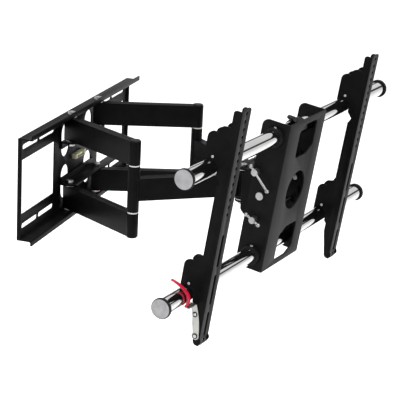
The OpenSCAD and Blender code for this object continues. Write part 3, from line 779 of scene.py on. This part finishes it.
@dataclass
class Studio:
    """Floor, lights and camera."""

    floor_z: float = -0.62
    floor_reach: float = 14.0
    eye: tuple[float, float, float] = (-2.9118, -1.1662, 0.8774)
    azimuth: float = -73.12
    elevation: float = 17.21
    roll: float = 2.94
    lens: float = 137.2
    room_strength: float = 1.0
    even_strength: float = 1.0
    room_shades: tuple[tuple[float, float], ...] = (
        (0.0, 1.0), (0.13, 1.0), (0.20, 0.05), (0.30, 0.05), (0.36, 1.0), (1.0, 1.0))
    lights: tuple[tuple[str, tuple[float, float, float], tuple[float, float], float], ...] = (
        ("key_light", (-1.9, -2.6, 2.9), (2.2, 2.2), 85.0),
        ("side_light", (-3.2, 0.9, 1.4), (1.4, 2.4), 30.0),
        ("top_light", (0.4, -0.4, 3.4), (3.0, 2.0), 60.0),
    )

    def build(self) -> None:
        """Build all of it, and show its tones plainly."""
        bpy.context.scene.view_settings.view_transform = "Standard"
        self._floor()
        self._camera()
        self._world()
        self._sun()
        for name, at, size, power in self.lights:
            self._light(name, Vector(at), size, power)

    def _floor(self) -> None:
        """Lay a plain pale floor."""
        build = bmesh.new()
        bmesh.ops.create_grid(build, x_segments=1, y_segments=1, size=self.floor_reach)
        bmesh.ops.translate(build, verts=build.verts, vec=(0, 0, self.floor_z))
        floor = new_object("floor", mesh_from(build, "floor"))
        sheet = NodeSheet("pale_floor")
        sheet.shader.inputs["Base Color"].default_value = (0.96, 0.96, 0.96, 1)
        sheet.shader.inputs["Roughness"].default_value = 0.9
        sheet.shader.inputs["Specular IOR Level"].default_value = 0.1
        floor.data.materials.append(sheet.material)

    def _camera(self) -> None:
        """Place the camera at its viewing angle."""
        data = bpy.data.cameras.new("camera")
        data.lens = self.lens
        data.sensor_width = 36.0
        data.clip_end = 60.0
        camera = bpy.data.objects.new("camera", data)
        turn = (Matrix.Rotation(math.radians(self.azimuth), 4, "Z")
                @ Matrix.Rotation(math.radians(90 - self.elevation), 4, "X")
                @ Matrix.Rotation(math.radians(self.roll), 4, "Z"))
        camera.matrix_world = Matrix.Translation(self.eye) @ turn
        bpy.context.scene.collection.objects.link(camera)
        bpy.context.scene.camera = camera

    def _world(self) -> None:
        """Light the room evenly, but for a dark band above the horizon that the bright tubes mirror."""
        world = bpy.data.worlds.new("soft_room")
        world.use_nodes = True
        nodes, links = world.node_tree.nodes, world.node_tree.links
        background = nodes["Background"]
        background.inputs["Strength"].default_value = self.room_strength
        direction = nodes.new("ShaderNodeTexCoord")
        parts = nodes.new("ShaderNodeSeparateXYZ")
        ramp = nodes.new("ShaderNodeValToRGB")
        ramp.color_ramp.interpolation = "EASE"
        for place, shade in self.room_shades[2:]:
            ramp.color_ramp.elements.new(place)
        for element, (place, shade) in zip(ramp.color_ramp.elements, self.room_shades):
            element.position = place
            element.color = (shade, shade, shade, 1)
        links.new(direction.outputs["Generated"], parts.inputs["Vector"])
        links.new(parts.outputs["Z"], ramp.inputs["Fac"])
        links.new(ramp.outputs["Color"], background.inputs["Color"])
        bpy.context.scene.world = world

    def _sun(self) -> None:
        """Add an even, very soft light from above."""
        data = bpy.data.lights.new("even_light", "SUN")
        data.energy = self.even_strength
        data.angle = math.radians(70)
        lamp = bpy.data.objects.new("even_light", data)
        lamp.matrix_world = axis_matrix(Vector((0, 0, 4)), Vector((0, -1.2, 4 + 2.0)))
        bpy.context.scene.collection.objects.link(lamp)

    def _light(self, name: str, at: Vector, size: tuple[float, float], power: float) -> None:
        """Hang one soft area light that faces the mount.

        Args:
            name: The light's name.
            at: Its place.
            size: Its width and height.
            power: Its power in watts.
        """
        data = bpy.data.lights.new(name, "AREA")
        data.shape = "RECTANGLE"
        data.size, data.size_y = size
        data.energy = power
        lamp = bpy.data.objects.new(name, data)
        lamp.matrix_world = axis_matrix(at, at - Vector((0, -0.3, 0)))
        bpy.context.scene.collection.objects.link(lamp)


# --------------------------------------------------------------------------------------- sub-assemblies


@dataclass
class WallBracket:
    """The wall plate, its shelves, pivot bolts and spirit level."""

    shop: Workshop
    body: str = "wall_bracket"
    folds: Softening = Softening(bend=2.6 * MM, edge=0.35 * MM)
    plain: Softening = Softening(edge=0.5 * MM)
    bolt_head: float = 16.4 * MM
    bolt_head_h: float = 5.8 * MM

    def build(self) -> None:
        """Build all of it."""
        self.shop.softened("wall_plate", self.body, PLATE_COAT, self.folds)
        for node in ("upper_pivot_shelf", "lower_pivot_shelf"):
            self.shop.softened(node, self.body, PLATE_COAT, self.plain)
        self._bolts()
        self.shop.softened("shoulder_nuts", self.body, ZINC, self.plain)
        self.shop.softened("shoulder_washers", self.body, NYLON, self.plain)
        self.shop.softened("level_housing", self.body, LEVEL_BODY, self.plain)
        self.shop.softened("level_vial", self.body, LEVEL_LIQUID, self.plain)

    def _bolts(self) -> None:
        """Cap the shoulder bolts with domed socket heads."""
        self.shop.recoat("shoulder_bolts", ZINC)
        top = SIZES.plate_h / 2
        places = [
            axis_matrix(Vector((x, -SIZES.pivot_y, s * top)), Vector((0, 0, s)))
            for x in (-SIZES.pivot_x, SIZES.pivot_x) for s in (1, -1)
        ]
        self.shop.scatter("shoulder_bolt_heads", small_part(Shape.DOME, self.bolt_head, self.bolt_head_h),
                          places, self.body, ZINC)


@dataclass
class Arm:
    """One arm: two rectangular tubes joined by the elbow bolt."""

    shop: Workshop
    side: str
    tube: Softening = Softening(bend=2.6 * MM, edge=0.4 * MM, least_width=9 * MM)
    plain: Softening = Softening(edge=0.5 * MM)

    def build(self) -> None:
        """Build all of it."""
        body = f"{self.side}_arm"
        for level in ("upper", "lower"):
            self.shop.softened(f"{self.side}_{level}_arm_tube", body, ARM_COAT, self.tube)
        self.shop.recoat(f"{self.side}_elbow_bolt", ZINC)
        self.shop.softened(f"{self.side}_elbow_washers", body, NYLON, self.plain)
        self.shop.softened(f"{self.side}_elbow_caps", body, BLACK_PLASTIC, self.plain)


@dataclass
class Forearm:
    """One forearm: a rectangular tube between its elbow sleeve and its knuckle."""

    shop: Workshop
    side: str
    bead_step: float = 1.6 * MM
    bead_r: float = 1.7 * MM
    tube: Softening = Softening(bend=2.6 * MM, edge=0.3 * MM, least_width=9 * MM)
    plain: Softening = Softening(edge=0.5 * MM)

    def build(self) -> None:
        """Build all of it."""
        body = f"{self.side}_forearm"
        self.shop.softened(f"{self.side}_forearm_tube", body, ARM_COAT, self.tube)
        self.shop.softened(f"{self.side}_elbow_sleeve", body, ARM_COAT, self.plain)
        self.shop.softened(f"{self.side}_knuckle", body, ARM_COAT, self.plain)
        self.shop.softened(f"{self.side}_elbow_bushes", body, NYLON, self.plain)
        if self.side == "left":
            self.shop.softened("left_knuckle_bush", body, NYLON, self.plain)
        self._beads(body)

    def _beads(self, body: str) -> None:
        """Lay a weld bead down each side of the tube, where it meets the elbow sleeve and the knuckle."""
        elbow = self.shop.middle(f"{self.side}_elbow_sleeve")
        knuckle = self.shop.middle(f"{self.side}_knuckle")
        along = (knuckle - elbow).normalized()
        across = along.cross(Vector((0, 0, 1)))
        rise = Vector((0, 0, SIZES.fore_h / 2 - 1.5 * MM))
        corners, edges = [], []
        for middle, facing, r in ((elbow, along, SIZES.sleeve_d / 2), (knuckle, -along, SIZES.knuckle_d / 2)):
            reach = math.sqrt(r * r - SIZES.tube_w * SIZES.tube_w / 4)
            for s in (-1, 1):
                foot = middle + facing * reach + across * (s * SIZES.tube_w / 2)
                edges.append((len(corners), len(corners) + 1))
                corners += [foot - rise, foot + rise]
        path = bpy.data.meshes.new("bead_path")
        path.from_pydata(corners, edges, [])
        piece = self.shop.bead.run(f"{self.side}_forearm_beads", path, {
            "Step": self.bead_step, "Size": self.bead_r, "Finish": self.shop.finishes.material(ARM_COAT)})
        self.shop.dress(piece, body, ARM_COAT)


@dataclass
class Yoke:
    """The yoke behind the head with its two pivots."""

    shop: Workshop
    body: str = "yoke"

    def build(self) -> None:
        """Build all of it."""
        self.shop.softened("yoke_bracket", self.body, YOKE_COAT, Softening(bend=1.6 * MM, edge=0.4 * MM))
        self.shop.softened("yoke_bolts", self.body, ZINC, Softening(edge=0.5 * MM))
        self.shop.softened("yoke_washers", self.body, NYLON, Softening(edge=0.3 * MM))


@dataclass
class Head:
    """The head box on its two round tubes, with caps, collars and bolts."""

    shop: Workshop
    body: str = "head"
    cap_ribs: int = 34
    rib_r: float = 1.15 * MM
    tilt_head: tuple[float, float] = (15.4 * MM, 5.6 * MM)
    tube_wall: float = 1.5 * MM
    plug_l: float = 10 * MM

    def build(self) -> None:
        """Build all of it."""
        self.shop.softened("head_box", self.body, HEAD_COAT, Softening(bend=2.6 * MM, edge=0.35 * MM))
        for node in ("upper_round_tube", "lower_round_tube"):
            self._tube(node)
        self._caps()
        self.shop.softened("tube_collars", self.body, BLACK_PLASTIC, Softening(edge=0.8 * MM))
        self.shop.softened("collar_screws", self.body, ZINC, Softening(edge=0.3 * MM))
        self.shop.softened("tilt_clamp_bolts", self.body, ZINC, Softening(edge=0.4 * MM))
        self.shop.softened("cable_clip", self.body, BLACK_PLASTIC, Softening(edge=0.4 * MM))
        self._tilt_bolts()

    def _tube(self, node: str) -> None:
        """Make a polished hollow round tube whose open ends have slightly rounded edges."""
        z = (1 if node.startswith("upper") else -1) * SIZES.round_span / 2
        half, r, wall = SIZES.round_l / 2, SIZES.round_d / 2, self.tube_wall
        edge = 0.4 * MM
        profile = [(r - wall, -half), (r - edge, -half), (r, -half + edge), (r, half - edge),
                   (r - edge, half), (r - wall, half), (r - wall, -half)]
        place = SIZES.tilted() @ axis_matrix(Vector((0, 0, z)), Vector((1, 0, 0)))
        mesh = mesh_from(lathe(profile, 96), node + "_made", place)
        self.shop.dress(new_object(node + "_made", mesh), self.body, CHROME, node)

    def _caps(self) -> None:
        """Make the ribbed end caps and their grey faces."""
        r, t = SIZES.cap_d / 2, SIZES.cap_t
        core, sunk = r - 0.9 * MM, t - 0.7 * MM
        plug = SIZES.round_d / 2 - self.tube_wall
        profile = [(0, -self.plug_l), (plug, -self.plug_l), (plug, 0), (core, 0), (core, sunk - 0.5 * MM),
                   (core - 0.5 * MM, sunk), (0, sunk)]
        disc = mesh_from(lathe(profile, 72), "cap_disc", Matrix.Translation((0, 0, -t / 2)))
        ribbed = self.shop.rim.run("ribbed_cap", disc, {
            "Radius": r - self.rib_r, "Count": self.cap_ribs, "Rib": self.rib_r, "Length": t - 1.6 * MM,
            "Finish": self.shop.finishes.material(BLACK_PLASTIC)})
        ribbed.data.transform(Matrix.Translation((0, 0, t / 2)))
        build = bmesh.new()
        build.from_mesh(ribbed.data)
        bpy.data.objects.remove(ribbed)
        half = SIZES.round_l / 2
        places = [
            SIZES.tilted() @ axis_matrix(Vector((s * half, 0, z * SIZES.round_span / 2)), Vector((s, 0, 0)))
            for s in (-1, 1) for z in (-1, 1)
        ]
        self.shop.scatter("ribbed_caps", build, places, self.body, BLACK_PLASTIC, "round_tube_caps")
        base, top, rim = sunk - 0.3 * MM, t - 0.05 * MM, core - 0.9 * MM
        face = lathe([(0, base), (rim, base), (rim, top - 0.2 * MM), (rim - 0.4 * MM, top), (0, top)], 64)
        self.shop.scatter("cap_faces", face, places, self.body, CAP_GREY)

    def _tilt_bolts(self) -> None:
        """Cap the tilt bolts with domed heads."""
        self.shop.recoat("tilt_bolts", HANDLE_ZINC)
        places = [
            SIZES.tilted() @ axis_matrix(Vector((s * SIZES.box_w / 2, SIZES.tilt_y, 0)), Vector((s, 0, 0)))
            for s in (-1, 1)
        ]
        head = small_part(Shape.DOME, *self.tilt_head)
        self.shop.scatter("tilt_bolt_heads", head, places, self.body, HANDLE_ZINC)


@dataclass
class ClampHandle:
    """A clamp handle: a hub with a sliding rod that ends in two balls."""

    shop: Workshop
    level: str

    def build(self) -> None:
        """Build all of it."""
        body = f"{self.level}_clamp"
        self.shop.softened(f"{self.level}_clamp_hub", body, HANDLE_ZINC, Softening(edge=0.8 * MM))
        self.shop.softened(f"{self.level}_clamp_rod", body, HANDLE_ZINC, Softening(edge=0.0))


@dataclass
class ScreenRail:
    """A screen rail with its hook liners, lock lever and release hook."""

    shop: Workshop
    side: str
    lever_face: float = 20.8 * MM
    lever_rivets: tuple[tuple[float, float], ...] = ((-36 * MM, -199 * MM), (-28 * MM, -157 * MM))
    screw_at: tuple[float, float] = (-3 * MM, 23 * MM)
    screw_head: tuple[float, float] = (5.6 * MM, 1.8 * MM)
    ring: tuple[float, float] = (10.5 * MM, 0.5 * MM)
    pin_head: tuple[float, float] = (6.4 * MM, 1.4 * MM)

    def _aimed(self, at: tuple[float, float, float], along: tuple[float, float, float]) -> Matrix:
        """Return a placement in the rail's own frame.

        Args:
            at: The place in the rail's frame.
            along: The direction of the part's axis in the rail's frame.

        Returns:
            The placement in the mount's frame.
        """
        frame = SIZES.rail(-1 if self.side == "left" else 1)
        return axis_matrix(frame @ Vector(at), frame.to_3x3() @ Vector(along))

    def _hook_screws(self, rail: str) -> None:
        """Add the bright screws that hold the liners in the hook plates."""
        y, rise = self.screw_at
        places = [
            self._aimed((s * SIZES.rail_w / 2, y, z * SIZES.round_span / 2 + rise), (s, 0, 0))
            for s in (-1, 1) for z in (-1, 1)
        ]
        head = small_part(Shape.DOME, *self.screw_head)
        self.shop.scatter(f"{self.side}_liner_screws", head, places, rail, ZINC)

    def _lever_details(self, lock: str) -> None:
        """Add the dark rings round the lever's rivets, and its upper rivet."""
        spots = [self._aimed((-self.lever_face, y, z), (-1, 0, 0)) for y, z in self.lever_rivets]
        ring = small_part(Shape.WASHER, *self.ring)
        self.shop.scatter(f"{self.side}_lever_rings", ring, spots, lock, BLACK_PLASTIC)
        pin = small_part(Shape.RIVET, *self.pin_head)
        self.shop.scatter(f"{self.side}_lever_pin", pin, spots[1:], lock, ZINC)

    def build(self) -> None:
        """Build all of it."""
        rail, lock = f"{self.side}_rail_set", f"{self.side}_lock"
        self._hook_screws(rail)
        self._lever_details(lock)
        self.shop.softened(f"{self.side}_rail", rail, RAIL_COAT, Softening(bend=2.2 * MM, edge=0.35 * MM))
        self.shop.softened(f"{self.side}_hook_liners", rail, BLACK_PLASTIC, Softening(edge=0.4 * MM))
        self.shop.softened(f"{self.side}_lever_rivets", rail, ZINC, Softening(edge=0.3 * MM))
        self.shop.softened(f"{self.side}_lock_lever", lock, LEVER_ZINC, Softening(edge=0.35 * MM))
        self.shop.softened(f"{self.side}_release_hook", lock, RELEASE_RED, Softening(edge=0.8 * MM))


def main() -> None:
    """Build every sub-assembly."""
    logging.basicConfig(level=logging.INFO, format="%(name)s: %(message)s", stream=sys.stdout)
    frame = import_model()
    Studio().build()
    shop = Workshop(frame)
    WallBracket(shop).build()
    for side in ("left", "right"):
        Arm(shop, side).build()
        Forearm(shop, side).build()
    Yoke(shop).build()
    Head(shop).build()
    for level in ("upper", "lower"):
        ClampHandle(shop, level).build()
    for side in ("left", "right"):
        ScreenRail(shop, side).build()


if __name__ == "__main__":
    main()
